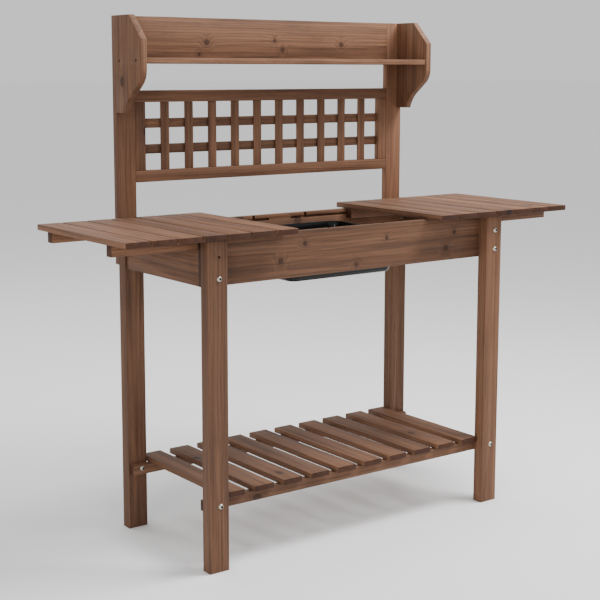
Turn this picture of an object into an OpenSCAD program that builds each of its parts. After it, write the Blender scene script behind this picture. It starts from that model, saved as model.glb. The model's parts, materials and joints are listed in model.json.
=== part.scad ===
// Potting bench with two sliding half tops over a lift-out basin, a slatted lower
// shelf, and a hutch with a lattice panel and a narrow upper shelf.
// +X is to the right, +Y to the back, +Z up. The origin is on the floor,
// under the centre of the whole bench with both half tops pulled out.

/* [Overall] */
// Width over the outer faces of the legs
bench_w = 1000; // [900:1:1100]
// Depth from the front legs' front face to the back legs' back face
frame_d = 446; // [420:1:520]
// Full height to the top of the posts
bench_h = 1400; // [1340:1:1500]

/* [Legs and posts] */
// Width of a leg or a post, left to right
leg_w = 57; // [50:1:65]
// Thickness of a leg, front to back
leg_t = 33; // [28:1:38]
// Height of a leg
leg_h = 843; // [843:1:845]
// Thickness of a post
post_t = 19; // [16:1:22]
// Height of a post's lower end above the floor
post_foot_z = 735; // [725:1:740]

/* [Aprons] */
// Thickness of the apron boards
apron_t = 18; // [16:1:20]
// Height of the aprons' lower edge above the floor
apron_z = 727; // [715:1:735]
// Height of the front and back aprons' upper edge
apron_top_z = 846.5; // [846:0.5:847]
// Height of the side aprons' upper edge, which carries the battens
side_apron_top_z = 819; // [817:0.5:819]
// How far the aprons stay inside the legs' outer faces
apron_inset = 5; // [3:1:8]

/* [Half tops] */
// Number of slats in a half top
top_slats = 7; // [7:1:7]
// Width of a top slat
top_slat_w = 67; // [66:0.5:68]
// Gap between two top slats
top_slat_gap = 4.5; // [3:0.5:4.5]
// Thickness of a top slat
top_slat_t = 15; // [12:1:18]
// Height of the slats' underside
top_under_z = 847.5; // [847.5:0.5:849]
// Depth of a half top, front to back
top_d = 467; // [460:1:470]
// How far the half tops reach past the front legs' front face
top_overhang = 26; // [21:1:28]
// How far each half top is pulled out from the closed place
top_out = 243; // [215:1:250]
// Gap between the two half tops when they are closed
top_closed_gap = 2; // [2:0.5:4]
// Width of a batten, front to back
batten_w = 25; // [22:1:28]
// Free space between a batten and the apron beside it
batten_clear = 2; // [1.5:0.5:3]
// How far a batten stays inside the half top's outer edge
batten_inset = 6; // [4:1:12]

/* [Guide pins] */
// Diameter of a guide pin
pin_d = 6; // [5:0.5:6]
// Height of the groove that a guide pin runs in
groove_h = 7; // [7:0.5:8]
// Depth of the groove in the apron
groove_depth = 10; // [8:0.5:11]
// Distance from a half top's inner edge to its guide pins
pin_inset = 41; // [35:1:50]
// Distance from the bench's middle to the notch where a pin drops in
notch_x = 92; // [85:1:110]
// Width of the notch
notch_w = 8; // [8:0.5:10]

/* [Basin] */
// Width of the basin's flange, left to right
basin_w = 406; // [390:1:410]
// Depth of the basin's flange, front to back
basin_d = 320; // [300:1:330]
// Height of the flange's upper face
basin_rim_z = 817; // [815:0.5:817]
// Height of the basin's underside
basin_floor_z = 700; // [690:1:725]
// Thickness of the basin's wall and flange
basin_wall = 3; // [2.5:0.5:4]
// Width of the flange, from its edge to the outside of the wall
flange_w = 15; // [14:1:18]
// How much the basin's walls lean in on each side, top to bottom
basin_draft = 12; // [8:1:18]
// Depth of the rails that carry the basin's flange
basin_rail_h = 50; // [30:1:60]

/* [Lower shelf] */
// Height of the stretchers' lower edge
stretcher_z = 154.5; // [140:0.5:180]
// Height of the stretchers
stretcher_h = 27; // [24:1:27]
// Number of slats in the lower shelf
shelf_slats = 10; // [10:1:10]
// Width of a lower slat
shelf_slat_w = 61; // [55:1:65]
// Thickness of a lower slat
shelf_slat_t = 15; // [12:1:18]
// Distance from the front legs' front face to the slats' front ends
shelf_slat_front = 20; // [12:1:28]
// Gap between an end slat and the leg beside it
shelf_end_gap = 2.5; // [1:0.5:4]

/* [Hutch] */
// Height of the upper shelf's underside
hutch_shelf_z = 1274; // [1260:1:1290]
// Thickness of the upper shelf
hutch_shelf_t = 15; // [12:1:18]
// Distance from the posts' front face to the upper shelf's front edge
hutch_shelf_d = 133; // [125:1:135]
// Thickness of a bracket
bracket_t = 18; // [16:1:20]
// Distance from the posts' front face to a bracket's front edge
bracket_d = 136; // [130:1:145]
// Height of a bracket's lower end
bracket_foot_z = 1144; // [1144:1:1150]
// Height of the lattice panel's lower edge
lattice_z = 955; // [930:1:970]
// Height of the lattice panel
lattice_h = 248; // [230:1:250]
// Width of the lattice panel's rails and stiles
lattice_frame_w = 32; // [28:1:36]
// Width of a lattice slat
lattice_slat_w = 26; // [22:1:28]
// Thickness of a lattice slat
lattice_slat_t = 7; // [6:0.5:7]
// Number of upright lattice slats
lattice_uprights_n = 10; // [8:1:10]
// Number of level lattice slats
lattice_cross_n = 2; // [2:1:3]

/* [Fasteners] */
// Diameter of a leg bolt's shank
bolt_d = 6; // [5:1:8]
// Diameter of a leg bolt's head
bolt_head_d = 15; // [13:1:16]
// Height of a leg bolt's head
bolt_head_h = 5; // [3:1:5]
// Outer diameter of a threaded insert
insert_d = 10; // [9:1:11]
// How far the bolt line stands to the right of a front leg's middle
bolt_shift = 5; // [0:1:6]
// Height of the upper bolts in the aprons
bolt_high_z = 804; // [800:1:808]
// Height of the lower bolts in the aprons
bolt_low_z = 750; // [745:1:760]
// Diameter of a wood screw's shank
screw_d = 4; // [3.5:0.5:4.5]
// Diameter of a wood screw's head
screw_head_d = 8; // [7:0.5:8]
// Length of a wood screw
screw_len = 35; // [35:1:38]

/* [Hidden] */
$fn = 48;
wood = [0.47, 0.33, 0.25];
black_plastic = [0.05, 0.05, 0.055];
steel = [0.75, 0.74, 0.72];
brass = [0.72, 0.58, 0.30];

// how far a cutting shape reaches past the face it opens
cut = 1;

// depth places, from the front legs' front face at leg_y
leg_y = top_overhang - (frame_d + top_overhang + post_t + bolt_head_h) / 2;
back_y = leg_y + frame_d;
back_leg_y = back_y - leg_t;
apron_y = leg_y + leg_t;
apron_back_y = apron_y + apron_t;
back_apron_y = back_leg_y - apron_t;
top_y = leg_y - top_overhang;
front_batten_y = apron_back_y + batten_clear;
back_batten_y = back_apron_y - batten_clear - batten_w;

// width places
leg_x = bench_w / 2 - leg_w;
apron_x = bench_w / 2 - apron_inset;
side_apron_in_x = apron_x - apron_t;
top_w = top_slats * top_slat_w + (top_slats - 1) * top_slat_gap;
top_in_x = top_closed_gap / 2 + top_out;
top_pitch = top_slat_w + top_slat_gap;

// a moving batten hangs this far above the side apron it passes over
slide_gap = 0.3;
batten_z = side_apron_top_z + slide_gap;
batten_h = top_under_z - batten_z;
batten_len = top_w - batten_inset;

// guide pins and grooves
pin_z = batten_z + batten_h / 2;
pin_end_gap = 2;
pin_len = groove_depth + batten_clear - pin_end_gap;
pin_grip = 12;
pin_closed_x = top_closed_gap / 2 + pin_inset;
pin_open_x = top_in_x + pin_inset;

// basin, which stands a little behind the middle of the aprons
basin_back_shift = 9;
basin_y = (apron_back_y + back_apron_y) / 2 + basin_back_shift;
basin_corner = 30;
hull_layer = 0.1;
basin_floor_t = 3;
rail_t = 18;
rail_clear = 1;
rail_x = basin_w / 2 - flange_w + rail_clear;
rail_top_z = basin_rim_z - basin_wall;

// lower shelf
shelf_z = stretcher_z + stretcher_h;
shelf_slat_y = leg_y + shelf_slat_front;
shelf_slat_len = frame_d - shelf_slat_front;
shelf_pitch = (2 * (leg_x - shelf_end_gap) - shelf_slat_w) / (shelf_slats - 1);

// hutch
post_y = back_y;
bracket_chamfer_y = 74;
bracket_chamfer_z = 63;
bracket_curve_z = bench_h - 139;
bracket_r_top = 53;
bracket_slope = 52;
bracket_slope_len = 49;
bracket_r_foot = 89;
lattice_in_x = leg_x - lattice_frame_w;
lattice_in_h = lattice_h - 2 * lattice_frame_w;
lattice_pitch = (2 * lattice_in_x + lattice_slat_w) / (lattice_uprights_n + 1);
cross_pitch = (lattice_in_h + lattice_slat_w) / (lattice_cross_n + 1);
lattice_slat_set = 4;

// fasteners
insert_len = 17;
front_bolt_len = leg_t + insert_len;
back_bolt_len = post_t + leg_t + insert_len;
stretcher_bolt_up = 17;
stretcher_bolt_z = stretcher_z + stretcher_bolt_up;
stretcher_bolt_len = apron_t + leg_t - 1;
bolt_hole_d = bolt_d + 0.6;
counterbore_h = 3;
bracket_screw_ys = [20, 109];
bracket_screw_z = hutch_shelf_z + hutch_shelf_t / 2;

// heights of the screws into the side aprons' ends and through the posts into the brackets
apron_screw_edge = 18;
apron_screw_zs = [apron_z + apron_screw_edge, side_apron_top_z - apron_screw_edge];
post_screw_zs = [bracket_foot_z + 30, bench_h - 110, bench_h - 30];

// bolt places across the bench and up the legs
leg_mid_x = bench_w / 2 - leg_w / 2;
front_bolt_xs = [-leg_mid_x + bolt_shift, leg_mid_x + bolt_shift];
back_bolt_xs = [-leg_mid_x + bolt_shift, leg_mid_x - bolt_shift];
apron_bolt_zs = [bolt_low_z, bolt_high_z];
leg_bolt_zs = concat(apron_bolt_zs, [stretcher_bolt_z]);

function slat_names(prefix, count) = [for (i = [1:count]) str(prefix, i)];

// ---- shared shapes ----

// a board given by its lowest corner and its size
module board(corner, size) {
    color(wood) translate(corner) cube(size);
}

// a round bar or hole along +Y from the point at
module rod_y(at, d, len) {
    translate(at) rotate([-90, 0, 0]) cylinder(d = d, h = len);
}

// a round-headed bolt along +Y, its head in front of the point at
module bolt_y(at, len) {
    color(steel) {
        rod_y(at, bolt_d, len);
        translate(at) rotate([90, 0, 0]) bolt_head();
    }
}

// a low domed head, flat side down
module bolt_head() {
    dome_r = (pow(bolt_head_d / 2, 2) + pow(bolt_head_h, 2)) / (2 * bolt_head_h);
    rotate_extrude() intersection() {
        translate([0, bolt_head_h - dome_r]) circle(r = dome_r, $fn = 96);
        square([bolt_head_d, bolt_head_h]);
    }
}

// a countersunk wood screw along +Z, its head's face at the origin
module wood_screw() {
    head_h = (screw_head_d - screw_d) / 2;
    tip_h = 5;
    color(brass) rotate_extrude() polygon([
        [0, 0], [screw_head_d / 2, 0], [screw_d / 2, head_h],
        [screw_d / 2, screw_len - tip_h], [0, screw_len]
    ]);
}

// ---- frame ----

// a front leg: two bolt holes at the apron and one at the stretcher
module front_leg(side) {
    x = side < 0 ? -bench_w / 2 : leg_x;
    bolt_x = front_bolt_xs[side < 0 ? 0 : 1];
    difference() {
        board([x, leg_y, 0], [leg_w, leg_t, leg_h]);
        for (z = leg_bolt_zs)
            rod_y([bolt_x, leg_y - cut, z], bolt_hole_d, leg_t + 2 * cut);
    }
}

// a back leg: through holes at the apron, an insert seat at the stretcher
module back_leg(side) {
    x = side < 0 ? -bench_w / 2 : leg_x;
    bolt_x = back_bolt_xs[side < 0 ? 0 : 1];
    difference() {
        board([x, back_leg_y, 0], [leg_w, leg_t, leg_h]);
        for (z = leg_bolt_zs)
            rod_y([bolt_x, back_leg_y - cut, z], bolt_hole_d, leg_t + 2 * cut);
        rod_y([bolt_x, back_y - insert_len, stretcher_bolt_z], insert_d, insert_len + cut);
    }
}

// the L-shaped guide groove of one half top, cut from the plane at y towards +Y
module guide_groove(side, y, depth) {
    for (x = [pin_closed_x, pin_open_x])
        rod_y([side * x, y, pin_z], groove_h, depth);
    x_low = side > 0 ? pin_closed_x : -pin_open_x;
    translate([x_low, y, pin_z - groove_h / 2])
        cube([pin_open_x - pin_closed_x, depth, groove_h]);
    translate([side * notch_x - notch_w / 2, y, pin_z])
        cube([notch_w, depth, apron_top_z - pin_z + cut]);
}

// the front apron, with the half tops' grooves in its back face
module front_apron() {
    difference() {
        board([-apron_x, apron_y, apron_z], [2 * apron_x, apron_t, apron_top_z - apron_z]);
        for (side = [-1, 1])
            guide_groove(side, apron_back_y - groove_depth, groove_depth + cut);
        for (x = front_bolt_xs, z = apron_bolt_zs)
            rod_y([x, apron_y - cut, z], insert_d, apron_t + 2 * cut);
    }
}

// the back apron, between the side aprons, with grooves in its front face
module back_apron() {
    difference() {
        board([-side_apron_in_x, back_apron_y, apron_z],
              [2 * side_apron_in_x, apron_t, apron_top_z - apron_z]);
        for (side = [-1, 1])
            guide_groove(side, back_apron_y - cut, groove_depth + cut);
        for (x = back_bolt_xs, z = apron_bolt_zs)
            rod_y([x, back_apron_y - cut, z], insert_d, apron_t + 2 * cut);
    }
}

// a side apron, whose upper edge carries the battens
module side_apron(side) {
    x = side < 0 ? -apron_x : side_apron_in_x;
    board([x, apron_back_y, apron_z],
          [apron_t, back_leg_y - apron_back_y, side_apron_top_z - apron_z]);
}

// the front stretcher, bolted to the front legs' back faces
module front_stretcher() {
    difference() {
        board([-apron_x, apron_y, stretcher_z], [2 * apron_x, apron_t, stretcher_h]);
        for (x = front_bolt_xs)
            rod_y([x, apron_y - cut, stretcher_bolt_z], insert_d, apron_t + 2 * cut);
    }
}

// the rear stretcher, bolted to the back legs' front faces
module rear_stretcher() {
    difference() {
        board([-apron_x, back_apron_y, stretcher_z], [2 * apron_x, apron_t, stretcher_h]);
        for (x = back_bolt_xs)
            rod_y([x, back_apron_y - cut, stretcher_bolt_z], bolt_hole_d, apron_t + 2 * cut);
    }
}

// one slat of the lower shelf, counted from the left
module shelf_slat(i) {
    x = -(leg_x - shelf_end_gap) + (i - 1) * shelf_pitch;
    board([x, shelf_slat_y, shelf_z], [shelf_slat_w, shelf_slat_len, shelf_slat_t]);
}

// ---- hutch ----

module post(side) {
    x = side < 0 ? -bench_w / 2 : leg_x;
    bolt_x = back_bolt_xs[side < 0 ? 0 : 1];
    difference() {
        board([x, post_y, post_foot_z], [leg_w, post_t, bench_h - post_foot_z]);
        for (z = apron_bolt_zs)
            rod_y([bolt_x, post_y - cut, z], bolt_hole_d, post_t + 2 * cut);
    }
}

module hutch_back_board() {
    board([-leg_x, post_y, hutch_shelf_z], [2 * leg_x, post_t, bench_h - hutch_shelf_z]);
}

module hutch_shelf() {
    half_w = bench_w / 2 - bracket_t;
    board([-half_w, post_y - hutch_shelf_d, hutch_shelf_z],
          [2 * half_w, hutch_shelf_d, hutch_shelf_t]);
}

// outline of a bracket: x is the distance in front of the posts, y the height. The curve
// is a round shoulder, a straight slope and a hollow foot, each running into the next
module bracket_outline() {
    outwards = [cos(bracket_slope), -sin(bracket_slope)];
    shoulder = [bracket_d - bracket_r_top, bracket_curve_z];
    slope_top = shoulder + bracket_r_top * outwards;
    slope_end = slope_top
        - bracket_slope_len * [sin(bracket_slope), cos(bracket_slope)];
    hollow = slope_end + bracket_r_foot * outwards;
    foot_d = hollow[0]
        - sqrt(pow(bracket_r_foot, 2) - pow(bracket_foot_z - hollow[1], 2));
    difference() {
        union() {
            polygon([
                [0, bracket_foot_z], [foot_d, bracket_foot_z], slope_end, slope_top,
                shoulder, [bracket_d, bracket_curve_z],
                [bracket_d, bench_h - bracket_chamfer_z], [bracket_chamfer_y, bench_h],
                [0, bench_h]
            ]);
            translate(shoulder) circle(r = bracket_r_top, $fn = 96);
        }
        translate(hollow) circle(r = bracket_r_foot, $fn = 96);
    }
}

// a bracket that holds one end of the upper shelf
module bracket(side) {
    x_out = side * bench_w / 2;
    x = side < 0 ? x_out : x_out - bracket_t;
    difference() {
        color(wood) translate([x + bracket_t, post_y, 0]) rotate([90, 0, -90])
            linear_extrude(bracket_t) bracket_outline();
        for (y = bracket_screw_ys)
            translate([x_out - counterbore_h, post_y - y, bracket_screw_z]) rotate([0, 90, 0])
                cylinder(d = screw_head_d, h = 2 * counterbore_h);
    }
}

module lattice_rail(z) {
    board([-leg_x, post_y, z], [2 * leg_x, post_t, lattice_frame_w]);
}

module lattice_stile(side) {
    x = side < 0 ? -leg_x : lattice_in_x;
    board([x, post_y, lattice_z + lattice_frame_w], [lattice_frame_w, post_t, lattice_in_h]);
}

module lattice_uprights() {
    for (i = [1:lattice_uprights_n])
        board([-lattice_in_x + i * lattice_pitch - lattice_slat_w, post_y + lattice_slat_set,
               lattice_z + lattice_frame_w],
              [lattice_slat_w, lattice_slat_t, lattice_in_h]);
}

module lattice_cross_slats() {
    for (i = [1:lattice_cross_n])
        board([-lattice_in_x, post_y + lattice_slat_set + lattice_slat_t,
               lattice_z + lattice_frame_w + i * cross_pitch - lattice_slat_w],
              [2 * lattice_in_x, lattice_slat_t, lattice_slat_w]);
}

// ---- half tops ----

// one slat of a half top, counted from the left
module top_slat(side, i) {
    x0 = side < 0 ? -top_in_x - top_w : top_in_x;
    board([x0 + (i - 1) * top_pitch, top_y, top_under_z], [top_slat_w, top_d, top_slat_t]);
}

// a batten under a half top, with a seat for its guide pin
module batten(side, y, pin_y) {
    x = side < 0 ? -top_in_x - batten_len : top_in_x;
    difference() {
        board([x, y, batten_z], [batten_len, batten_w, batten_h]);
        rod_y([side * pin_open_x, pin_y, pin_z], pin_d, pin_grip);
    }
}

// the front batten's pin points forward
module front_batten(side) {
    batten(side, front_batten_y, front_batten_y);
}

// the back batten's pin points backward
module back_batten(side) {
    batten(side, back_batten_y, back_batten_y + batten_w - pin_grip);
}

module guide_pins(side) {
    color(steel) {
        rod_y([side * pin_open_x, front_batten_y - pin_len, pin_z], pin_d, pin_len + pin_grip);
        rod_y([side * pin_open_x, back_batten_y + batten_w - pin_grip, pin_z],
              pin_d, pin_len + pin_grip);
    }
}

// screws from below, through both battens into every slat
module top_screws(side) {
    x0 = side < 0 ? -top_in_x - top_w : top_in_x;
    for (i = [0:top_slats - 1], y = [front_batten_y, back_batten_y])
        translate([x0 + top_slat_w / 2 + i * top_pitch, y + batten_w / 2, batten_z])
            wood_screw();
}

// ---- basin ----

// four upright round corners of a tub, w by d, at the height z
module tub_corners(w, d, r, z, h) {
    for (x = [-1, 1], y = [-1, 1])
        translate([x * (w / 2 - r), basin_y + y * (d / 2 - r), z])
            cylinder(r = r, h = h, $fn = 32);
}

// a tapering tub, smaller by drop at its floor
module tub(w, d, r, z, top, drop) {
    hull() {
        tub_corners(w - 2 * drop, d - 2 * drop, r, z, hull_layer);
        tub_corners(w, d, r, top - hull_layer, hull_layer);
    }
}

module basin() {
    body_w = basin_w - 2 * flange_w;
    body_d = basin_d - 2 * flange_w;
    color(black_plastic) difference() {
        union() {
            tub(body_w, body_d, basin_corner, basin_floor_z, basin_rim_z, basin_draft);
            tub(basin_w, basin_d, basin_corner + flange_w, rail_top_z, basin_rim_z, 0);
        }
        tub(body_w - 2 * basin_wall, body_d - 2 * basin_wall, basin_corner - basin_wall,
            basin_floor_z + basin_floor_t, basin_rim_z + cut, basin_draft);
    }
}

// the two rails that carry the basin's flange
module basin_rails() {
    for (x = [-rail_x - rail_t, rail_x])
        board([x, apron_back_y, rail_top_z - basin_rail_h],
              [rail_t, back_apron_y - apron_back_y, basin_rail_h]);
}

// ---- fasteners ----

// the front left leg's upper hole is left open
module short_leg_bolts() {
    for (x = front_bolt_xs, z = leg_bolt_zs)
        if (x > 0 || z != bolt_high_z) bolt_y([x, leg_y, z], front_bolt_len);
    for (x = back_bolt_xs)
        bolt_y([x, back_apron_y, stretcher_bolt_z], stretcher_bolt_len);
}

module long_leg_bolts() {
    for (x = back_bolt_xs, z = apron_bolt_zs)
        translate([x, post_y + post_t, z]) rotate([0, 0, 180]) bolt_y([0, 0, 0], back_bolt_len);
}

// a threaded insert along +Y
module insert_nut(at) {
    color(steel) difference() {
        rod_y(at, insert_d, insert_len);
        translate([0, -cut, 0]) rod_y(at, bolt_d, insert_len + 2 * cut);
    }
}

module insert_nuts() {
    for (x = front_bolt_xs, z = leg_bolt_zs)
        insert_nut([x, apron_y, z]);
    for (x = back_bolt_xs) {
        for (z = apron_bolt_zs) insert_nut([x, back_leg_y - insert_len, z]);
        insert_nut([x, back_y - insert_len, stretcher_bolt_z]);
    }
}

// screws of the fixed frame: shelf slats, side aprons, brackets and upper shelf
module frame_screws() {
    for (i = [0:shelf_slats - 1], y = [apron_y, back_apron_y])
        translate([-(leg_x - shelf_end_gap) + shelf_slat_w / 2 + i * shelf_pitch,
                   y + apron_t / 2, stretcher_z]) wood_screw();
    for (side = [-1, 1]) {
        for (z = apron_screw_zs)
            translate([side * (apron_x - apron_t / 2), apron_y, z]) rotate([-90, 0, 0])
                wood_screw();
        for (z = post_screw_zs)
            translate([side * (bench_w - bracket_t) / 2, post_y + post_t, z])
                rotate([90, 0, 0]) wood_screw();
        for (y = bracket_screw_ys)
            translate([side * (bench_w / 2 - counterbore_h), post_y - y, bracket_screw_z])
                rotate([0, -90 * side, 0]) wood_screw();
    }
}

// ---- one line per node ----

front_leg(-1);  // front_left_leg
front_leg(1);  // front_right_leg
back_leg(-1);  // back_left_leg
back_leg(1);  // back_right_leg
front_apron();
back_apron();
side_apron(-1);  // left_side_apron
side_apron(1);  // right_side_apron
front_stretcher();
rear_stretcher();
for (i = [1:shelf_slats])
    shelf_slat(i);
post(-1);  // left_post
post(1);  // right_post
hutch_back_board();
hutch_shelf();
bracket(-1);  // left_bracket
bracket(1);  // right_bracket
lattice_rail(lattice_z + lattice_h - lattice_frame_w);  // lattice_top_rail
lattice_rail(lattice_z);  // lattice_bottom_rail
lattice_stile(-1);  // lattice_left_stile
lattice_stile(1);  // lattice_right_stile
lattice_uprights();
lattice_cross_slats();
for (i = [1:top_slats]) {
    top_slat(-1, i);
    top_slat(1, i);
}
front_batten(-1);  // left_front_batten
back_batten(-1);  // left_back_batten
front_batten(1);  // right_front_batten
back_batten(1);  // right_back_batten
guide_pins(-1);  // left_guide_pins
guide_pins(1);  // right_guide_pins
basin();
basin_rails();
short_leg_bolts();
long_leg_bolts();
insert_nuts();
frame_screws();
top_screws(-1);  // left_top_screws
top_screws(1);  // right_top_screws
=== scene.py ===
# %% [markdown]
# # A potting bench in stained fir
# The bench has a fixed frame, two half tops that slide, and a loose basin. The packed
# model gives every place and size, so this lesson only makes the looks: worked boards,
# a stained wood that follows each board's grain, a moulded basin and plated fasteners.

# %% Load the frame
import json
import math
import random

import bmesh
import bpy
from mathutils import Matrix, Vector, noise


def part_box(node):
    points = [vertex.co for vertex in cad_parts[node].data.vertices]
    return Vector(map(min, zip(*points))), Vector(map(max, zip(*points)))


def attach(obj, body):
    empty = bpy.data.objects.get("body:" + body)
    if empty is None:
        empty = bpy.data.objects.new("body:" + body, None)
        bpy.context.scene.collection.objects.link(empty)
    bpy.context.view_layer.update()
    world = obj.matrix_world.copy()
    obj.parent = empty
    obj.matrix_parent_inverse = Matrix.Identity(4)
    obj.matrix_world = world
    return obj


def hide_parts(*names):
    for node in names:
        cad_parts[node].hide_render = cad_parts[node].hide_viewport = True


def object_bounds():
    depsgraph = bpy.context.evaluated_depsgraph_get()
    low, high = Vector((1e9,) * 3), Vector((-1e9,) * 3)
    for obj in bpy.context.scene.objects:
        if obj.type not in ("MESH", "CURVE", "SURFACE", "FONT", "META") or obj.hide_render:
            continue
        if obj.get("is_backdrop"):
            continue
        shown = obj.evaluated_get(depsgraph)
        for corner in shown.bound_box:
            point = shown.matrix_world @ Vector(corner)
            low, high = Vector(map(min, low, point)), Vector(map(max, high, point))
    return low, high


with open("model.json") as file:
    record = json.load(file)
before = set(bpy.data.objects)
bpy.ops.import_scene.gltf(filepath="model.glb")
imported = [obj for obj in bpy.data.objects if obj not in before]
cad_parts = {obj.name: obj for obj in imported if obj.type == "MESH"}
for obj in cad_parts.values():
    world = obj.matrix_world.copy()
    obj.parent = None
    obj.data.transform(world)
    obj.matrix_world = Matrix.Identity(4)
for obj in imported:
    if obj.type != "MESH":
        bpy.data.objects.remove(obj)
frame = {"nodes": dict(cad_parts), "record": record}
cad_low, cad_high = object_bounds()
bodies = frame["record"]["behaviour"]["bodies"]

# %% [markdown]
# ## Camera
# The bench is seen from the front left at about the height of its hutch. A fairly long
# lens keeps the legs nearly parallel. A small shift raises the bench a little in the
# picture, and the rest of the framing comes from tilting the camera down.

# %% Place the camera
CAMERA_PLACE = Vector((-2.174, -2.845, 1.250))
CAMERA_TURN = math.radians(35.97)
CAMERA_TILT = math.radians(8.15)
LENS_MM = 77.62
SHIFT = (0.026, -0.07)

camera_data = bpy.data.cameras.new("camera")
camera = bpy.data.objects.new("camera", camera_data)
bpy.context.scene.collection.objects.link(camera)
bpy.context.scene.camera = camera
camera_data.sensor_width = 36
camera_data.lens = LENS_MM
camera_data.shift_x, camera_data.shift_y = SHIFT
camera.location = CAMERA_PLACE
camera.rotation_euler = (math.pi / 2 - CAMERA_TILT, 0, -CAMERA_TURN)
print("camera distance", round((CAMERA_PLACE - (cad_low + cad_high) / 2).length, 3))

# %% [markdown]
# ## Floor and light
# A big soft lamp hangs high to the right and in front of the bench, so the tops and the
# right end are the brightest and the left end and the sides fall off gently. A low lamp on the
# left lifts the legs' sides and puts a faint shine in the basin's corner, a weak lamp
# behind keeps the back readable, and an even white surrounding opens up the shadows.
# The floor is pale and matt.

# %% Lay the floor
def deselect_all():
    """Leave nothing selected, so an operator works only on what is picked next."""
    for obj in list(bpy.context.selected_objects):
        obj.select_set(False)


def pick(obj):
    """Select this object alone and make it the active one."""
    deselect_all()
    obj.hide_set(False)
    obj.select_set(True)
    bpy.context.view_layer.objects.active = obj


FLOOR_SIZE = 300
FLOOR_PAINT = (0.95, 0.95, 0.95, 1)

deselect_all()
bpy.ops.mesh.primitive_plane_add(size=FLOOR_SIZE, location=(0, 0, 0))
floor = bpy.context.object
floor.name = "studio_floor"
floor_paint = bpy.data.materials.new("floor_paint")
floor_paint.use_nodes = True
floor_shader = floor_paint.node_tree.nodes["Principled BSDF"]
floor_shader.inputs["Base Color"].default_value = FLOOR_PAINT
floor_shader.inputs["Roughness"].default_value = 0.9
floor.data.materials.append(floor_paint)
floor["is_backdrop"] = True
print("floor", tuple(round(v, 1) for v in floor.dimensions))

# %% [markdown]
# Each lamp is a square soft box that points at the middle of the bench. The closest one
# decides the fall-off from right to left, so its distance matters as much as its power.

# %% Hang the lamps
LAMP_AIM = Vector((0, 0, 0.7))
WORLD_STRENGTH = 0.85


def hang_lamp(name, place, size, watts):
    """A square soft lamp that points at the bench's middle."""
    data = bpy.data.lights.new(name, "AREA")
    data.shape = "SQUARE"
    data.size = size
    data.energy = watts
    lamp = bpy.data.objects.new(name, data)
    bpy.context.scene.collection.objects.link(lamp)
    lamp.location = place
    aim = LAMP_AIM - Vector(place)
    lamp.rotation_euler = aim.to_track_quat("-Z", "Y").to_euler()


hang_lamp("key_lamp", (1.25, -0.85, 3.1), 1.3, 125)
hang_lamp("left_lamp", (-3.6, -2.3, 1.5), 1.2, 28)
hang_lamp("back_lamp", (-0.6, 3.2, 3.4), 2.5, 40)

world = bpy.data.worlds.new("studio")
bpy.context.scene.world = world
world.use_nodes = True
world.node_tree.nodes["Background"].inputs["Color"].default_value = (1, 1, 1, 1)
world.node_tree.nodes["Background"].inputs["Strength"].default_value = WORLD_STRENGTH

# %% [markdown]
# ## Stained fir
# A board is cut along a trunk, so the growth rings show as lines along its faces and as
# arcs on its ends. The rings here are true cylinders around a heart that lies outside
# the board. They are read in the board's own coordinates, which each board carries as
# an attribute called grain: x runs along the board, y and z across it. One material then
# serves every board, and no two boards look alike.


# %% Short ways to add and join nodes
def new_material(name):
    """A fresh node material and its shader."""
    material = bpy.data.materials.new(name)
    material.use_nodes = True
    return material, material.node_tree, material.node_tree.nodes["Principled BSDF"]


def math_node(tree, operation, first, second=0.0):
    """One sum on one or two values, which may be numbers or other nodes' outputs."""
    node = tree.nodes.new("ShaderNodeMath")
    node.operation = operation
    for slot, value in enumerate((first, second)):
        if isinstance(value, (int, float)):
            node.inputs[slot].default_value = value
        else:
            tree.links.new(value, node.inputs[slot])
    return node.outputs[0]


def stretched(tree, vector, scale):
    """The vector scaled by its own amount along each axis."""
    node = tree.nodes.new("ShaderNodeMapping")
    node.vector_type = "POINT"
    node.inputs["Scale"].default_value = scale
    tree.links.new(vector, node.inputs["Vector"])
    return node.outputs["Vector"]


def noise_node(tree, vector, scale, detail=3.0, roughness=0.5):
    """Soft noise from 0 to 1 on a vector."""
    node = tree.nodes.new("ShaderNodeTexNoise")
    node.inputs["Scale"].default_value = scale
    node.inputs["Detail"].default_value = detail
    node.inputs["Roughness"].default_value = roughness
    tree.links.new(vector, node.inputs["Vector"])
    return node.outputs["Fac"]


def between(tree, value, low, high, out_low=0.0, out_high=1.0):
    """The value moved from one range to another, smoothly and without passing it."""
    node = tree.nodes.new("ShaderNodeMapRange")
    node.interpolation_type = "SMOOTHSTEP"
    for name, number in (("From Min", low), ("From Max", high),
                         ("To Min", out_low), ("To Max", out_high)):
        node.inputs[name].default_value = number
    tree.links.new(value, node.inputs["Value"])
    return node.outputs["Result"]


def colour_mix(tree, factor, first, second, blend="MIX"):
    """Two colours mixed by a factor; each may be a colour or another node's output."""
    node = tree.nodes.new("ShaderNodeMix")
    node.data_type = "RGBA"
    node.blend_type = blend
    for slot, value in ((0, factor), (6, first), (7, second)):
        if isinstance(value, (int, float)):
            node.inputs[slot].default_value = value
        elif isinstance(value, tuple):
            node.inputs[slot].default_value = (*value, 1)
        else:
            tree.links.new(value, node.inputs[slot])
    return node.outputs[2]


print("node helpers ready")

# %% [markdown]
# The knots come first, because the rings bend round them. A knot is where a branch
# passed through the trunk, so it goes through the whole board, and its place is read
# from the length and the width alone. The apron and the upper board have their knots at
# given places and sizes in metres. The other boards have a few by chance, one for some
# of the cells of a wide grid. Either way the result is a distance that is 1 at the edge
# of a knot's dark core.


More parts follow.
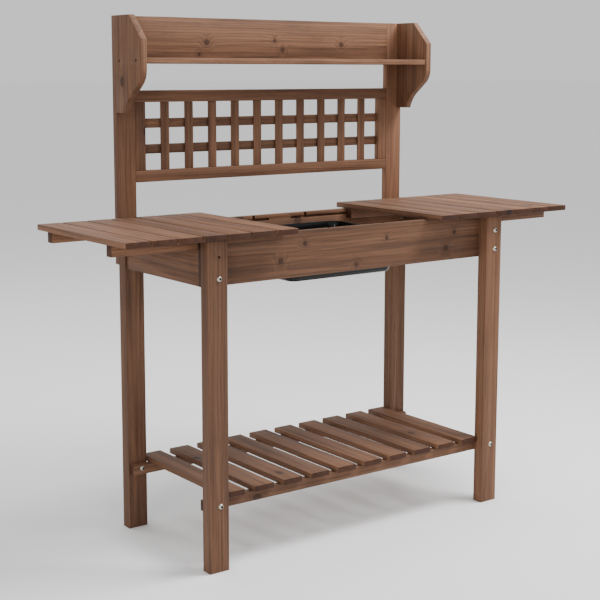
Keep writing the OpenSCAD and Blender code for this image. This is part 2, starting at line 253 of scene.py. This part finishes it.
# %% Knots
APRON_KNOTS = ((-0.258, 0.773, 0.0062), (-0.180, 0.812, 0.0050), (-0.009, 0.742, 0.0048),
               (0.097, 0.806, 0.0040), (0.315, 0.762, 0.0066), (0.346, 0.805, 0.0050))
UPPER_BOARD_KNOTS = ((-0.213, 1.334, 0.0062), (-0.238, 1.301, 0.0036),
                     (0.019, 1.341, 0.0040), (0.047, 1.316, 0.0044),
                     (0.263, 1.333, 0.0056))
FAR_AWAY = 99.0
CELLS_PER_METRE = 5.2
CELL_STRETCH = 0.7
KNOTTED_FROM = 0.56
CHANCE_KNOT = 0.036


def chance_knots(tree, grain):
    """How far the nearest chance knot is, and whether its cell has one at all."""
    flat = stretched(tree, grain, (CELLS_PER_METRE * CELL_STRETCH, CELLS_PER_METRE, 0))
    cells = tree.nodes.new("ShaderNodeTexVoronoi")
    cells.voronoi_dimensions = "2D"
    cells.inputs["Scale"].default_value = 1.0
    tree.links.new(flat, cells.inputs["Vector"])
    split = tree.nodes.new("ShaderNodeSeparateColor")
    tree.links.new(cells.outputs["Color"], split.inputs["Color"])
    chosen = between(tree, split.outputs["Red"], KNOTTED_FROM, KNOTTED_FROM + 0.01)
    return math_node(tree, "DIVIDE", cells.outputs["Distance"], CHANCE_KNOT), chosen


def given_knots(tree, places):
    """How far the nearest of the given knots is, measured on the board's front."""
    coords = tree.nodes.new("ShaderNodeTexCoord").outputs["Object"]
    front = stretched(tree, coords, (1, 0, 1))
    nearest = FAR_AWAY
    for x, z, radius in places:
        away = tree.nodes.new("ShaderNodeVectorMath")
        away.operation = "DISTANCE"
        away.inputs[1].default_value = (x, 0, z)
        tree.links.new(front, away.inputs[0])
        sized = math_node(tree, "DIVIDE", away.outputs["Value"], radius)
        nearest = math_node(tree, "MINIMUM", sized, nearest)
    return nearest, 1.0


def knot_masks(tree, grain, places):
    """A knot's core, its dark rim, and the wider zone where the rings bend round it."""
    if places:
        distance, chosen = given_knots(tree, places)
    else:
        distance, chosen = chance_knots(tree, grain)
    masks = []
    for mask in (between(tree, distance, 1.25, 0.75),
                 math_node(tree, "MULTIPLY", between(tree, distance, 1.7, 1.2),
                           between(tree, distance, 0.6, 1.0)),
                 between(tree, distance, 5.5, 0.6)):
        masks.append(math_node(tree, "MULTIPLY", mask, chosen))
    return masks


print("given knots", len(APRON_KNOTS) + len(UPPER_BOARD_KNOTS))

# %% [markdown]
# A ring is read from the distance to the heart: pale early wood rises slowly to a dark
# late line and then drops at once. Noise that is long along the board and short across
# it makes the streaks, the pores and the broad bands.

# %% Growth rings and fibres
RING_WIDTH = 0.0060
RING_WANDER = 0.020
KNOT_BEND = 0.009


def ring_pattern(tree, grain, zone):
    """Rings round the trunk's heart: 0 in the pale early wood, 1 in the dark late wood."""
    wander = noise_node(tree, stretched(tree, grain, (1.6, 11, 11)), 1.0, 2.0)
    split = tree.nodes.new("ShaderNodeSeparateXYZ")
    tree.links.new(grain, split.inputs["Vector"])
    across = math_node(tree, "POWER", split.outputs["Y"], 2.0)
    deep = math_node(tree, "POWER", split.outputs["Z"], 2.0)
    radius = math_node(tree, "SQRT", math_node(tree, "ADD", across, deep))
    radius = math_node(tree, "ADD", radius, math_node(tree, "MULTIPLY", wander, RING_WANDER))
    radius = math_node(tree, "ADD", radius, math_node(tree, "MULTIPLY", zone, KNOT_BEND))
    turn = math_node(tree, "FRACT", math_node(tree, "DIVIDE", radius, RING_WIDTH))
    rise = between(tree, turn, 0.30, 0.88)
    fall = between(tree, turn, 0.90, 1.0, 1.0, 0.0)
    return math_node(tree, "MULTIPLY", rise, fall)


def fibre_pattern(tree, grain):
    """Streaks, pores and broad bands, all drawn out along the board, and soft blotches."""
    streaks = noise_node(tree, stretched(tree, grain, (2.6, 130, 130)), 1.0, 5.0, 0.72)
    pores = noise_node(tree, stretched(tree, grain, (28, 640, 640)), 1.0, 2.0)
    broad = noise_node(tree, stretched(tree, grain, (1.4, 34, 34)), 1.0, 3.0)
    blotches = noise_node(tree, stretched(tree, grain, (5, 13, 13)), 1.0, 3.0, 0.6)
    return streaks, pores, broad, blotches


print("ring width", RING_WIDTH * 1000, "mm")

# %% [markdown]
# The stain sinks deeper into the soft early wood and the open ends, so the ends are darker. A
# second attribute, tone, makes one board a little lighter or darker than the next: it is 1 for
# the plain stain. On most boards it is the board's own colour, drawn by chance; on a few it is
# painted light and painted shade, set to make up for how light falls on them. The attribute
# end_grain marks the sawn ends. Each share below is how strongly one feature pulls the colour
# towards the dark wood, or in a knot's core towards the knot's own colour.

# %% The wood material
PALE_WOOD = (0.213, 0.102, 0.0545)
MID_WOOD = (0.131, 0.061, 0.0330)
DARK_WOOD = (0.037, 0.0162, 0.0086)
KNOT_WOOD = (0.042, 0.0155, 0.0080)
END_WOOD = (0.33, 0.24, 0.19)
RING_SHARE, STREAK_SHARE, PORE_SHARE, BLOTCH_SHARE = 0.32, 0.70, 0.45, 0.34
KNOT_ZONE_SHARE, KNOT_RIM_SHARE, KNOT_CORE_SHARE = 0.26, 0.70, 0.78
WOOD_SPECULAR = 0.26


def named_attribute(tree, name, output):
    """One of the attributes that every board carries."""
    node = tree.nodes.new("ShaderNodeAttribute")
    node.attribute_name = name
    return node.outputs[output]


def wood_colour(tree, knots, rings, fibres):
    """The stained colour, built up from the broad bands to the finest pores."""
    core, rim, zone = knots
    streaks, pores, broad, blotches = fibres
    body = colour_mix(tree, between(tree, broad, 0.30, 0.70), MID_WOOD, PALE_WOOD)
    for share in (math_node(tree, "MULTIPLY", rings, RING_SHARE),
                  between(tree, streaks, 0.46, 0.72, 0.0, STREAK_SHARE),
                  between(tree, pores, 0.60, 0.74, 0.0, PORE_SHARE),
                  between(tree, blotches, 0.52, 0.80, 0.0, BLOTCH_SHARE),
                  math_node(tree, "MULTIPLY", zone, KNOT_ZONE_SHARE),
                  math_node(tree, "MULTIPLY", rim, KNOT_RIM_SHARE)):
        body = colour_mix(tree, share, body, DARK_WOOD)
    core_share = math_node(tree, "MULTIPLY", core, KNOT_CORE_SHARE)
    return colour_mix(tree, core_share, body, KNOT_WOOD)


def make_stained_fir(name, places=()):
    """Stained fir that follows each board's own grain."""
    material, tree, shader = new_material(name)
    grain = named_attribute(tree, "grain", "Vector")
    tone_and_painted_light = named_attribute(tree, "tone_and_painted_light", "Fac")
    end_grain = named_attribute(tree, "end_grain", "Fac")
    knots = knot_masks(tree, grain, places)
    rings = ring_pattern(tree, grain, knots[2])
    fibres = fibre_pattern(tree, grain)
    body = wood_colour(tree, knots, rings, fibres)
    body = colour_mix(tree, end_grain, body, END_WOOD, "MULTIPLY")
    scaled = tree.nodes.new("ShaderNodeHueSaturation")
    tree.links.new(body, scaled.inputs["Color"])
    # the per-board brightness, which paints light and shade on some boards, scales the colour
    tree.links.new(tone_and_painted_light, scaled.inputs["Value"])
    tree.links.new(scaled.outputs["Color"], shader.inputs["Base Color"])

    tree.links.new(between(tree, rings, 0.0, 1.0, 0.70, 0.56), shader.inputs["Roughness"])
    height = math_node(tree, "ADD", math_node(tree, "MULTIPLY", fibres[0], 0.8),
                       math_node(tree, "MULTIPLY", rings, 0.5))
    bump = tree.nodes.new("ShaderNodeBump")
    bump.inputs["Strength"].default_value = 0.40
    bump.inputs["Distance"].default_value = 0.0006
    tree.links.new(height, bump.inputs["Height"])
    tree.links.new(bump.outputs["Normal"], shader.inputs["Normal"])
    shader.inputs["Specular IOR Level"].default_value = WOOD_SPECULAR
    return material


stained_fir = make_stained_fir("stained_fir")
KNOTTY = {"front_apron_board": make_stained_fir("stained_fir_apron", APRON_KNOTS),
          "hutch_back_board_board": make_stained_fir("stained_fir_upper",
                                                     UPPER_BOARD_KNOTS)}
print("wood nodes", len(stained_fir.node_tree.nodes))

# %% [markdown]
# ## Working a board
# A real board is planed, its long edges are eased so that they don't splinter, and in
# use those edges wear unevenly. A plain board starts as a cube of the right size. It is
# cut across every few centimetres, its edges are bevelled, and the edge points then
# move inwards by a fraction of a millimetre. Boards with holes or grooves start from a
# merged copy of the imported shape, so every bore stays exactly where its bolt is.

# %% Where a node's separate solids are
EASE = 0.0013
FINE_EASE = 0.0009
MERGE = 1e-6
WEAR = 0.00035
CUT_STEP = 0.045


def solid_boxes(node):
    """The lowest and highest corner of each separate solid in a CAD node."""
    mesh = bmesh.new()
    mesh.from_mesh(frame["nodes"][node].data)
    bmesh.ops.remove_doubles(mesh, verts=mesh.verts, dist=MERGE)
    boxes, seen = [], set()
    for start in mesh.verts:
        if start in seen:
            continue
        seen.add(start)
        island, waiting = [start], [start]
        while waiting:
            for edge in waiting.pop().link_edges:
                for vert in edge.verts:
                    if vert not in seen:
                        seen.add(vert)
                        island.append(vert)
                        waiting.append(vert)
        low = Vector([min(v.co[i] for v in island) for i in range(3)])
        high = Vector([max(v.co[i] for v in island) for i in range(3)])
        boxes.append((low, high))
    mesh.free()
    return sorted(boxes, key=lambda box: tuple(round(c, 4) for c in box[0]))


print("bolts found", len(solid_boxes("short_leg_bolts")) + len(solid_boxes("long_leg_bolts")))

# %% [markdown]
# The grain attribute is worked out once for each board from its own box. Random numbers with a
# fixed seed shift it along and across, so every board is cut from another place in the trunk.
# A few boards have a set brightness, and the rest get one by chance. The set values are
# painted light and painted shade. The right post, the right bracket and the lattice's rails
# are painted lighter against the shadows that fall on them, and the left legs are painted
# darker for the shade that falls there. The other set values are partly each board's own
# colour and partly painted light and shade.

# %% Grain, board brightness with painted light and shade, and end grain
# Set brightness per board, as painted light and shade: the right post, right bracket and
# lattice rails are lightened against shadows cast on them, the left legs are darkened as
# painted shade, and the other entries mix the board's own colour with painted light and shade.
BOARD_TONES_AND_PAINTED_LIGHT = {"front_apron_board": 0.82, "front_left_leg_board": 0.84,
         "back_left_leg_board": 0.84, "front_right_leg_board": 1.02,
         "right_post_board": 1.50, "left_post_board": 1.02, "right_bracket_board": 1.15,
         "back_apron_board": 0.90, "left_side_apron_board": 0.90,
         "hutch_shelf_board": 1.18, "lattice_top_rail_board": 1.20,
         "lattice_bottom_rail_board": 1.16}


def long_axis(low, high):
    """The axis that a board's length runs along: 0, 1 or 2."""
    size = high - low
    return max(range(3), key=lambda i: size[i])


def carry_grain(obj, along, seed):
    """Store the board's own coordinates, its brightness with any painted light and shade, and
    its sawn ends in its mesh.
    """
    draw = random.Random(seed)
    mesh = obj.data
    across = [i for i in range(3) if i != along]
    size = [max(v.co[i] for v in mesh.vertices) - min(v.co[i] for v in mesh.vertices)
            for i in across]
    wide, deep = across if size[0] >= size[1] else across[::-1]
    middle = [(max(v.co[i] for v in mesh.vertices) + min(v.co[i] for v in mesh.vertices)) / 2
              for i in range(3)]
    start = draw.uniform(0, 40)
    side = draw.uniform(-0.05, 0.05)
    heart = draw.uniform(0.025, 0.085)
    # adding an attribute moves the earlier ones, so all are added before any is read
    mesh.attributes.new("grain", "FLOAT_VECTOR", "POINT")
    mesh.attributes.new("tone_and_painted_light", "FLOAT", "POINT")
    mesh.attributes.new("end_grain", "FLOAT", "FACE")
    grain, tone_and_painted_light, ends = (mesh.attributes[name] for name in ("grain", "tone_and_painted_light", "end_grain"))
    # listed boards take their set brightness with its painted light and shade; the rest get
    # their own colour by chance
    shade = BOARD_TONES_AND_PAINTED_LIGHT.get(obj.name, 0.83 + 0.32 * draw.random())
    for vert in mesh.vertices:
        place = [vert.co[i] - middle[i] for i in range(3)]
        grain.data[vert.index].vector = (place[along] + start, place[wide] + side,
                                         place[deep] + heart)
        tone_and_painted_light.data[vert.index].value = shade
    for face in mesh.polygons:
        ends.data[face.index].value = 1.0 if abs(face.normal[along]) > 0.8 else 0.0


print("boards carry grain, tone and end_grain")

# %% [markdown]
# Only points close to a long edge are worn, and they only ever move inwards, so a board
# never grows out of its place.

# %% Easing and wearing the edges
def wear_edges(obj, along, seed):
    """Move the points by the board's long edges inwards a little, never outwards."""
    mesh = obj.data
    across = [i for i in range(3) if i != along]
    low = [min(v.co[i] for v in mesh.vertices) for i in range(3)]
    high = [max(v.co[i] for v in mesh.vertices) for i in range(3)]
    for vert in mesh.vertices:
        near = [min(vert.co[i] - low[i], high[i] - vert.co[i]) for i in across]
        if max(near) > 2.2 * EASE:
            continue
        amount = WEAR * max(0.0, noise.noise(vert.co * 23 + Vector((seed * 3.7, 0, 0))) + 0.35)
        for i in across:
            vert.co[i] += amount if vert.co[i] < (low[i] + high[i]) / 2 else -amount


def cut_across(along, low, high):
    """Cut the open mesh across its length at even steps."""
    length = high[along] - low[along]
    count = max(2, round(length / CUT_STEP))
    for step in range(1, count):
        bpy.ops.mesh.select_all(action="SELECT")
        place = list((low + high) / 2)
        place[along] = low[along] + length * step / count
        normal = [0, 0, 0]
        normal[along] = 1
        bpy.ops.mesh.bisect(plane_co=place, plane_no=normal)


def ease_edges(obj, width=EASE):
    """Round the sharp edges with a bevel that is applied at once."""
    pick(obj)
    bevel = obj.modifiers.new("eased_edges", "BEVEL")
    bevel.width = width
    bevel.segments = 2
    bevel.limit_method = "ANGLE"
    bevel.angle_limit = math.radians(40)
    bpy.ops.object.modifier_apply(modifier=bevel.name)


board_count = 0


def finish_board(obj, along):
    """The last steps that every board shares."""
    global board_count
    board_count += 1
    wear_edges(obj, along, board_count)
    carry_grain(obj, along, board_count)
    obj.data.materials.clear()
    obj.data.materials.append(KNOTTY.get(obj.name, stained_fir))
    pick(obj)
    bpy.ops.object.shade_smooth_by_angle(angle=math.radians(35))
    return obj


print("edges eased by", EASE * 1000, "mm")

# %% [markdown]
# A plain board is built from nothing but its box: a cube, cuts across it, a bevel.

# %% A plain board
def plain_board(name, low, high):
    """A planed board that fills the box from low to high."""
    along = long_axis(low, high)
    deselect_all()
    bpy.ops.mesh.primitive_cube_add(size=1, location=(low + high) / 2)
    obj = bpy.context.object
    obj.name = obj.data.name = name
    obj.scale = high - low
    bpy.ops.object.transform_apply(location=True, rotation=True, scale=True)
    bpy.ops.object.mode_set(mode="EDIT")
    cut_across(along, low, high)
    bpy.ops.object.mode_set(mode="OBJECT")
    ease_edges(obj)
    return finish_board(obj, along)


print("plain boards are cut across about every", CUT_STEP * 1000, "mm")

# %% [markdown]
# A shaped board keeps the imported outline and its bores. Joining the doubled points and
# dissolving flat edges first gives the bevel clean edges to follow.

# %% A board with bores, grooves or a shaped outline
def shaped_board(name, node):
    """A worked board from a merged copy of a CAD node that has holes or a curved edge."""
    low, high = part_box(node)
    along = long_axis(low, high)
    mesh = frame["nodes"][node].data.copy()
    obj = bpy.data.objects.new(name, mesh)
    bpy.context.scene.collection.objects.link(obj)
    pick(obj)
    bpy.ops.object.mode_set(mode="EDIT")
    bpy.ops.mesh.select_all(action="SELECT")
    bpy.ops.mesh.remove_doubles(threshold=MERGE)
    bpy.ops.mesh.dissolve_limited(angle_limit=math.radians(0.5))
    bpy.ops.object.mode_set(mode="OBJECT")
    obj.data.name = name
    ease_edges(obj, FINE_EASE)
    return finish_board(obj, along)


print("board makers ready")

# %% [markdown]
# ## Building the bench
# Each finished piece rides on its body, takes its finish and stands for its CAD node. The half
# tops and the lower shelf are rows of plain slats. The legs, posts, aprons, stretchers,
# battens and brackets have bores, grooves or curves.


# %% Put a piece in its place
SLACK = 0.0005


def body_of_node(node):
    """The body that a CAD node belongs to."""
    return next(name for name, members in bodies.items() if node in members)


def stand_for(piece, node):
    """Let a finished piece take over from a CAD node, whose box it may not leave."""
    low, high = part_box(node)
    for vert in piece.data.vertices:
        if any(not low[i] - SLACK <= vert.co[i] <= high[i] + SLACK for i in range(3)):
            raise ValueError(f"{piece.name} leaves the box of {node} at {tuple(vert.co)}")
    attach(piece, body_of_node(node))
    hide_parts(node)


SHAPED = ("front_left_leg", "front_right_leg", "back_left_leg", "back_right_leg",
          "front_apron", "back_apron", "front_stretcher", "rear_stretcher",
          "left_post", "right_post", "left_bracket", "right_bracket",
          "left_front_batten", "left_back_batten", "right_front_batten",
          "right_back_batten")
for node in SHAPED:
    stand_for(shaped_board(node + "_board", node), node)
print("shaped boards", len(SHAPED))

# %% [markdown]
# The half tops, the lower shelf, the upper boards and the lattice's frame are plain
# boards, each in the box of its own CAD node.

# %% Plain boards
PLAIN = (["left_side_apron", "right_side_apron", "hutch_back_board", "hutch_shelf",
          "lattice_top_rail", "lattice_bottom_rail", "lattice_left_stile",
          "lattice_right_stile"]
         + sorted(n for n in frame["nodes"] if n.startswith("shelf_slat_"))
         + sorted(n for n in frame["nodes"] if "_top_slat_" in n))
for node in PLAIN:
    stand_for(plain_board(node + "_board", *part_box(node)), node)
print("plain boards", len(PLAIN))

# %% [markdown]
# Some nodes hold several equal slats or rails. Each solid in them gets a board of its
# own, so no two slats of the lattice share their grain.

# %% Groups of slats and rails
for node in ("lattice_uprights", "lattice_cross_slats", "basin_rails"):
    for number, (low, high) in enumerate(solid_boxes(node), 1):
        stand_for(plain_board(f"{node}_{number}", low, high), node)
    print(node, number, "pieces")

# %% [markdown]
# ## Basin
# The basin is one moulded shell: a flange, walls that lean inwards so that it leaves
# its mould, and a flat floor, with every corner rounded. It starts as a cube whose
# upright edges are bevelled, is tapered, opened, and given a wall with Solidify.


# %% Shape the basin
FLANGE = 0.015
LEAN = 0.012
WALL = 0.003
CORNER = 0.030
FLOOR_ROUND, RIM_ROUND, SHELL_EASE = 0.009, 0.0035, 0.0006
LID_HALF_DEPTH = 0.05


def select_faces(obj, test):
    """In edit mode, select only the faces that pass a test on centre and normal."""
    mesh = bmesh.from_edit_mesh(obj.data)
    for face in mesh.faces:
        face.select_set(bool(test(face.calc_center_median(), face.normal)))
    mesh.select_flush_mode()
    bmesh.update_edit_mesh(obj.data)


def round_corners(obj, radius, segments=8):
    """Bevel the four upright edges of a tub."""
    mesh = bmesh.from_edit_mesh(obj.data)
    bpy.ops.mesh.select_all(action="DESELECT")
    bpy.context.tool_settings.mesh_select_mode = (False, True, False)
    for edge in mesh.edges:
        run = edge.verts[0].co - edge.verts[1].co
        upright = abs(run.z) > 0.5 * run.length and abs(run.z) > 0.02
        edge.select_set(upright)
    bmesh.update_edit_mesh(obj.data)
    bpy.ops.mesh.bevel(offset=radius, segments=segments, affect="EDGES")
    bpy.context.tool_settings.mesh_select_mode = (False, False, True)


def make_basin():
    """The tub's outer skin, tapered and opened, then given its wall and flange."""
    low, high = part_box("basin")
    inner_low = Vector((low.x + FLANGE, low.y + FLANGE, low.z))
    inner_high = Vector((high.x - FLANGE, high.y - FLANGE, high.z))
    deselect_all()
    bpy.ops.mesh.primitive_cube_add(size=1, location=(inner_low + inner_high) / 2)
    obj = bpy.context.object
    obj.name = obj.data.name = "basin_tub"
    obj.scale = inner_high - inner_low
    bpy.ops.object.transform_apply(location=True, rotation=True, scale=True)
    bpy.ops.object.mode_set(mode="EDIT")
    round_corners(obj, CORNER)
    select_faces(obj, lambda centre, normal: normal.z < -0.9)
    size = inner_high - inner_low
    bpy.ops.transform.resize(value=(1 - 2 * LEAN / size.x, 1 - 2 * LEAN / size.y, 1))
    bpy.ops.mesh.bevel(offset=FLOOR_ROUND, segments=4, affect="EDGES")
    select_faces(obj, lambda centre, normal: normal.z > 0.9)
    bpy.ops.mesh.inset(thickness=FLANGE, use_outset=True)
    bpy.ops.object.mode_set(mode="OBJECT")
    return obj, low, high


basin_tub, basin_low, basin_high = make_basin()
print("basin skin", [round(v, 3) for v in basin_tub.dimensions])

# %% [markdown]
# The skin is closed on top at first. Opening it leaves a flat ring, which is the flange.
# The crease between ring and wall is rounded, as moulded plastic always is, and Solidify
# then gives the whole skin its thickness on the inside, so the outer size stays true.


# %% Open the basin and give it a wall
def open_basin(obj):
    """Delete the lid inside the flange and turn the skin into a shell."""
    pick(obj)
    bpy.ops.object.mode_set(mode="EDIT")
    half_x = obj.dimensions.x / 2 - FLANGE
    select_faces(obj, lambda centre, normal: normal.z > 0.9 and abs(centre.x) < half_x * 0.5
                 and abs(centre.y - (basin_low.y + basin_high.y) / 2) < LID_HALF_DEPTH)
    bpy.ops.mesh.delete(type="FACE")
    bpy.ops.object.mode_set(mode="OBJECT")
    ease_edges(obj, RIM_ROUND)
    wall = obj.modifiers.new("wall", "SOLIDIFY")
    wall.thickness = WALL
    wall.offset = -1
    pick(obj)
    bpy.ops.object.modifier_apply(modifier=wall.name)
    ease_edges(obj, SHELL_EASE)
    bpy.ops.object.shade_smooth_by_angle(angle=math.radians(40))


open_basin(basin_tub)
print("basin shell faces", len(basin_tub.data.polygons))

# %% [markdown]
# The plastic is nearly black, so what is seen of it is its shine. A faint ripple breaks
# up the reflections, and long dull streaks are the marks of use.

# %% Black moulded plastic
BLACK = (0.0045, 0.0048, 0.0052, 1)
PLASTIC_SPECULAR = 0.20


def make_black_plastic():
    """Glossy black plastic with the faint ripple and dulling of a moulded sheet."""
    material, tree, shader = new_material("black_plastic")
    coords = tree.nodes.new("ShaderNodeTexCoord").outputs["Object"]
    ripple = noise_node(tree, coords, 38.0, 2.0)
    scuff = noise_node(tree, stretched(tree, coords, (60, 9, 9)), 1.0, 4.0, 0.65)
    shader.inputs["Base Color"].default_value = BLACK
    shader.inputs["Specular IOR Level"].default_value = PLASTIC_SPECULAR
    tree.links.new(between(tree, scuff, 0.4, 0.8, 0.13, 0.26), shader.inputs["Roughness"])
    bump = tree.nodes.new("ShaderNodeBump")
    bump.inputs["Strength"].default_value = 0.25
    bump.inputs["Distance"].default_value = 0.0008
    tree.links.new(ripple, bump.inputs["Height"])
    tree.links.new(bump.outputs["Normal"], shader.inputs["Normal"])
    return material


basin_tub.data.materials.append(make_black_plastic())
stand_for(basin_tub, "basin")
print("basin stands for the CAD basin")

# %% [markdown]
# ## Fasteners
# The leg bolts have low domed heads with a hexagon socket, and the wood screws have
# countersunk heads with a cross. Each is turned once: half its outline is spun round
# its axis, the socket is cut by a second shape, and the result is copied to every
# place that the CAD solids give.


# %% Plated steel
def make_plated(name, colour, roughness):
    """Plated steel with an uneven shine, painted nearly black in its sockets as painted shade.
    """
    material, tree, shader = new_material(name)
    coords = tree.nodes.new("ShaderNodeTexCoord").outputs["Object"]
    uneven = noise_node(tree, coords, 900.0, 3.0)
    shader.inputs["Metallic"].default_value = 1.0
    shade = colour_mix(tree, between(tree, uneven, 0.35, 0.75), colour,
                       tuple(0.72 * c for c in colour))
    painted_socket_shade = named_attribute(tree, "painted_socket_shade", "Fac")
    # the socket faces are painted nearly black: painted shade
    shade = colour_mix(tree, painted_socket_shade, shade, tuple(0.08 * c for c in colour))
    tree.links.new(shade, shader.inputs["Base Color"])
    tree.links.new(between(tree, uneven, 0.3, 0.8, roughness, roughness + 0.16),
                   shader.inputs["Roughness"])
    return material


bolt_steel = make_plated("zinc_plate", (0.50, 0.47, 0.41), 0.30)
screw_steel = make_plated("yellow_zinc_plate", (0.62, 0.52, 0.31), 0.30)
dull_steel = make_plated("dull_steel", (0.58, 0.57, 0.55), 0.36)
print("metals ready")

# %% [markdown]
# Two tools make every fastener: one spins half an outline into a solid, and one cuts a shape
# out of it. The socket's faces are marked and painted nearly black, a painted shade for the
# little light that gets into them.

# %% Turn an outline round the Y axis
def turned(name, outline, steps=32):
    """Spin half an outline, given as (radius, distance along Y), into a closed solid."""
    mesh = bpy.data.meshes.new(name)
    points = [(radius, along, 0) for radius, along in outline]
    mesh.from_pydata(points, [(i, i + 1) for i in range(len(points) - 1)], [])
    obj = bpy.data.objects.new(name, mesh)
    bpy.context.scene.collection.objects.link(obj)
    pick(obj)
    bpy.ops.object.mode_set(mode="EDIT")
    bpy.ops.mesh.select_all(action="SELECT")
    bpy.ops.mesh.spin(steps=steps, angle=2 * math.pi, center=(0, 0, 0), axis=(0, 1, 0))
    bpy.ops.mesh.select_all(action="SELECT")
    bpy.ops.mesh.remove_doubles(threshold=MERGE)
    bpy.ops.mesh.normals_make_consistent(inside=False)
    bpy.ops.object.mode_set(mode="OBJECT")
    return obj


def cut_with(obj, cutter):
    """Cut one solid from another and throw the cutter away."""
    pick(obj)
    cut = obj.modifiers.new("socket", "BOOLEAN")
    cut.operation = "DIFFERENCE"
    cut.solver = "EXACT"
    cut.object = cutter
    bpy.ops.object.modifier_apply(modifier=cut.name)
    bpy.data.objects.remove(cutter)


def mark_painted_socket_shade(obj, radius, deep):
    """Mark the faces of a socket, to be painted dark as painted shade, since little light gets
    in.
    """
    painted_socket_shade = obj.data.attributes.new("painted_socket_shade", "FLOAT", "FACE")
    for face in obj.data.polygons:
        aside = math.hypot(face.center.x, face.center.z)
        inside = aside < 1.02 * radius and 0.15 * deep < face.center.y < 1.1 * deep
        painted_socket_shade.data[face.index].value = 1.0 if inside else 0.0


print("turning tools ready")

# %% [markdown]
# The bolt is made for 6 mm thread with a wide round head. The screw is a 4 mm
# countersunk wood screw. Both start at the origin with the head's top at zero.

# %% The bolt and the screw
HEAD_R, HEAD_H, SHANK_R = 0.0075, 0.005, 0.003
SOCKET_R, SOCKET_DEEP = 0.0034, 0.0030
TIP_BEVEL = 0.0008
SCREW_HEAD_R, SCREW_R, SCREW_TIP = 0.004, 0.002, 0.005
CROSS_LONG, CROSS_DEEP, CROSS_WIDE, CROSS_REACH = 0.0045, 0.0036, 0.0011, 0.0024


def make_bolt(length):
    """A round-headed socket bolt along +Y, its dome's top at the origin."""
    dome = (HEAD_R ** 2 + HEAD_H ** 2) / (2 * HEAD_H)
    radii = [HEAD_R * i / 9 for i in range(10)]
    outline = [(r, dome - math.sqrt(dome ** 2 - r ** 2)) for r in radii]
    outline += [(SHANK_R, HEAD_H), (SHANK_R, length - TIP_BEVEL),
                (SHANK_R - TIP_BEVEL, length), (0, length)]
    bolt = turned("bolt", outline)
    deselect_all()
    bpy.ops.mesh.primitive_cylinder_add(vertices=6, radius=SOCKET_R, depth=2 * SOCKET_DEEP,
                                        rotation=(math.pi / 2, 0, 0))
    cut_with(bolt, bpy.context.object)
    mark_painted_socket_shade(bolt, SOCKET_R, SOCKET_DEEP)
    return bolt


def make_screw(length):
    """A countersunk wood screw along +Y, its flat head at the origin."""
    outline = [(0, 0), (SCREW_HEAD_R, 0), (SCREW_R, SCREW_HEAD_R - SCREW_R),
               (SCREW_R, length - SCREW_TIP), (0, length)]
    screw = turned("screw", outline, 16)
    for size in ((CROSS_LONG, CROSS_DEEP, CROSS_WIDE),
                 (CROSS_WIDE, CROSS_DEEP, CROSS_LONG)):
        deselect_all()
        bpy.ops.mesh.primitive_cube_add(size=1)
        cutter = bpy.context.object
        cutter.scale = size
        bpy.ops.object.transform_apply(scale=True)
        cut_with(screw, cutter)
    mark_painted_socket_shade(screw, CROSS_REACH, CROSS_DEEP / 2)
    return screw


print("fastener makers ready")

# %% [markdown]
# The CAD solids say where each fastener is, how long it is and which end is its head.
# The copies of one node are joined, because they share a body and a finish.

# %% Copy a fastener to every place
def turn_to(axis, head_low):
    """The turn that takes +Y to the direction from a fastener's head to its tip."""
    way = Vector((0, 0, 0))
    way[axis] = 1 if head_low else -1
    return Vector((0, 1, 0)).rotation_difference(way).to_matrix().to_4x4()


def head_is_low(node, low, high):
    """Whether the wide end of one CAD fastener is at the lower end of its length."""
    axis = long_axis(low, high)
    side = (axis + 1) % 3
    length = high[axis] - low[axis]
    spread = {True: 0.0, False: 0.0}
    for vert in frame["nodes"][node].data.vertices:
        if all(low[i] - MERGE <= vert.co[i] <= high[i] + MERGE for i in range(3)):
            at_low = vert.co[axis] - low[axis] < 0.3 * length
            at_high = high[axis] - vert.co[axis] < 0.3 * length
            if at_low or at_high:
                reach = abs(vert.co[side] - (low[side] + high[side]) / 2)
                spread[at_low] = max(spread[at_low], reach)
    return spread[True] > spread[False]


def place_fasteners(node, maker, material):
    """One joined piece that holds a copy of the fastener at each CAD solid."""
    made, copies = {}, []
    for low, high in solid_boxes(node):
        axis = long_axis(low, high)
        length = round(high[axis] - low[axis], 5)
        if length not in made:
            made[length] = maker(length)
        head_low = head_is_low(node, low, high)
        place = (low + high) / 2
        place[axis] = low[axis] if head_low else high[axis]
        mesh = made[length].data.copy()
        mesh.transform(turn_to(axis, head_low))
        mesh.transform(Matrix.Translation(place))
        copy = bpy.data.objects.new(node + "_copy", mesh)
        bpy.context.scene.collection.objects.link(copy)
        copies.append(copy)
    for first in made.values():
        bpy.data.objects.remove(first)
    pick(copies[0])
    for copy in copies[1:]:
        copy.select_set(True)
    bpy.ops.object.join()
    piece = bpy.context.object
    piece.name = piece.data.name = node + "_turned"
    piece.data.materials.clear()
    piece.data.materials.append(material)
    pick(piece)
    bpy.ops.object.shade_smooth_by_angle(angle=math.radians(35))
    print(node, len(copies), "copies, lengths in mm", sorted(round(k * 1000, 1) for k in made))
    stand_for(piece, node)


for node in ("short_leg_bolts", "long_leg_bolts"):
    place_fasteners(node, make_bolt, bolt_steel)
for node in ("frame_screws", "left_top_screws", "right_top_screws"):
    place_fasteners(node, make_screw, screw_steel)

# %% [markdown]
# The threaded inserts and the guide pins already have their true shape in the packed
# model and sit inside the wood, so they keep it and only get plated steel.

# %% Finish the inner steel
for node in ("insert_nuts", "left_guide_pins", "right_guide_pins"):
    steel_node = frame["nodes"][node]
    steel_node.data.materials.clear()
    steel_node.data.materials.append(dull_steel)
print("inner steel finished")

# %% Compare the sizes and finish
seen_low, seen_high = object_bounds()
print("visual size", [round(v, 4) for v in seen_high - seen_low])
ROOM = 0.001
outside = [i for i in range(3)
           if seen_low[i] < cad_low[i] - ROOM or seen_high[i] > cad_high[i] + ROOM]
if outside:
    raise ValueError(f"the pieces leave the packed box along axes {outside}")
